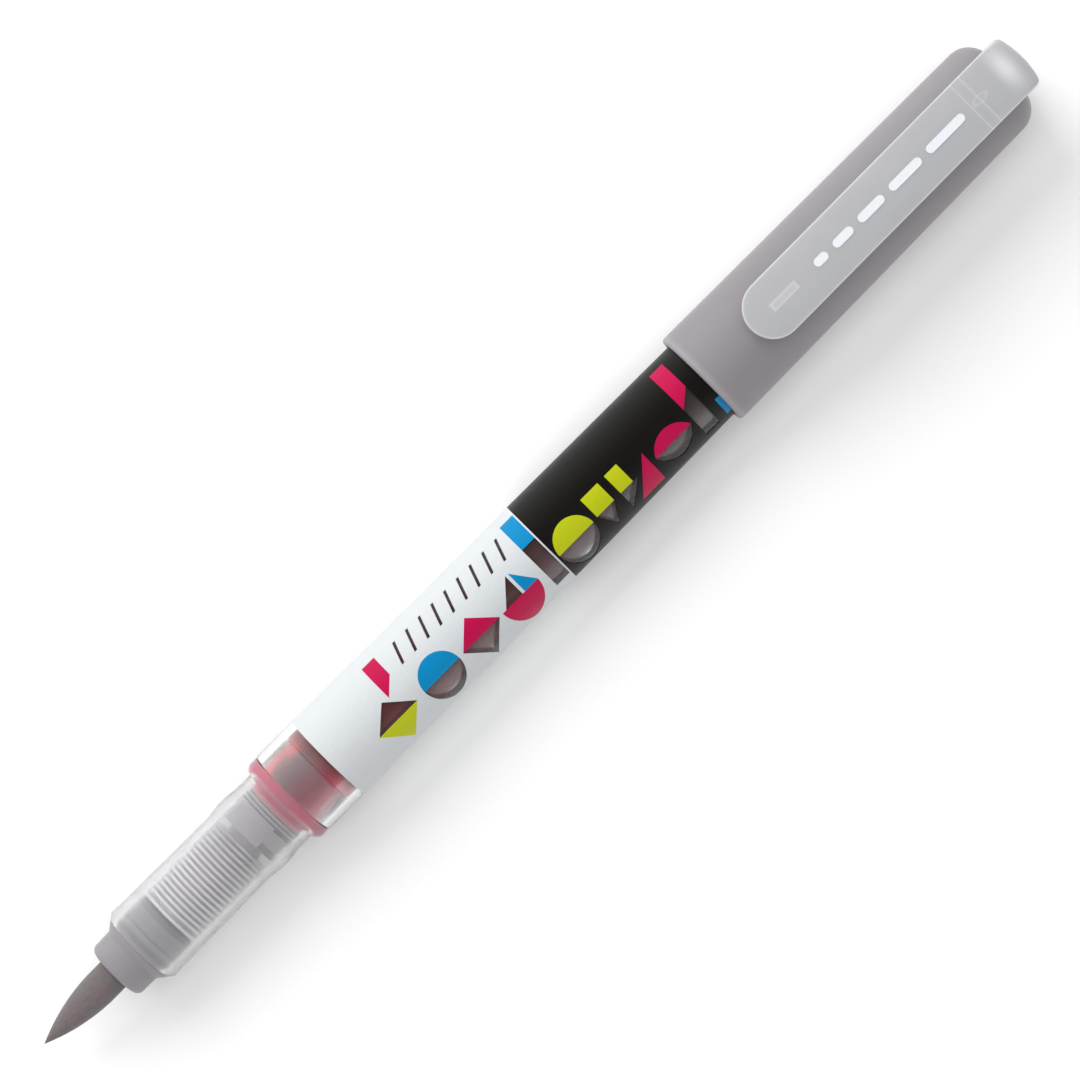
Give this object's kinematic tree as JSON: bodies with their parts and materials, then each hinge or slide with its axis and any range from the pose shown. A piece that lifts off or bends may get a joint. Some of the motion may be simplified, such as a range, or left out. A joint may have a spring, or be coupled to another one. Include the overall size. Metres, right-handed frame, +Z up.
{
  "type": "calligraphy marker",
  "caption": "Calligraphy marker with a felt brush nib, a clear grip over a finned ink collector, a printed ink barrel and a clip cap posted on its tail.",
  "frame": {"origin": "under the middle of the marker's box, on the surface it lies on", "axes": "+X along the marker from its nib to its cap's end, +Z up through the clip, +Y to the side"},
  "size_m": [0.1618, 0.0132, 0.016],
  "materials": {
    "nib_felt": "dense polyester felt, stained with ink",
    "nose_plastic": "satin grey moulding",
    "clear_plastic": "clear moulded plastic",
    "collector_plastic": "satin grey moulding with fine fins",
    "rod_fibre": "ink-soaked fibre rod",
    "ink_liquid": "dark pink pigment ink",
    "ball_steel": "polished steel",
    "white_print": "smooth white printed film",
    "black_print": "smooth black printed film",
    "magenta_print": "smooth magenta printed film",
    "cyan_print": "smooth cyan printed film",
    "lime_print": "smooth yellow-green printed film",
    "cap_plastic": "fine satin grey moulding",
    "liner_plastic": "soft natural polyethylene",
    "clip_plastic": "frosted translucent moulding"
  },
  "bodies": {
    "marker": {"brush_nib": "nib_felt", "nib_holder": "nose_plastic", "grip_section": "clear_plastic", "collector": "collector_plastic", "feed_rod": "rod_fibre", "barrel": "clear_plastic", "ink": "ink_liquid", "print_white": "white_print", "print_black": "black_print", "print_magenta": "magenta_print", "print_cyan": "cyan_print", "print_lime": "lime_print"},
    "ball": {"mixing_ball": "ball_steel"},
    "cap": {"cap_body": "cap_plastic", "inner_cap": "liner_plastic", "clip_head": "clip_plastic"},
    "clip": {"clip_arm": "clip_plastic", "clip_print": "white_print"}
  },
  "joints": [
    {"name": "cap_slide", "type": "slide", "parent": "marker", "child": "cap", "axis": [1, 0, 0], "range_m": [0, 0.03]},
    {"name": "clip_flex", "type": "hinge", "parent": "cap", "child": "clip", "pos_m": [0.07222, 0, 0.01592], "axis": [0, 1, 0], "range_deg": [0, 5], "stiffness_Nm_per_rad": 0.4},
    {"name": "ball_roll", "type": "slide", "parent": "marker", "child": "ball", "axis": [1, 0, 0], "range_m": [-0.037, 0.04]}
  ]
}
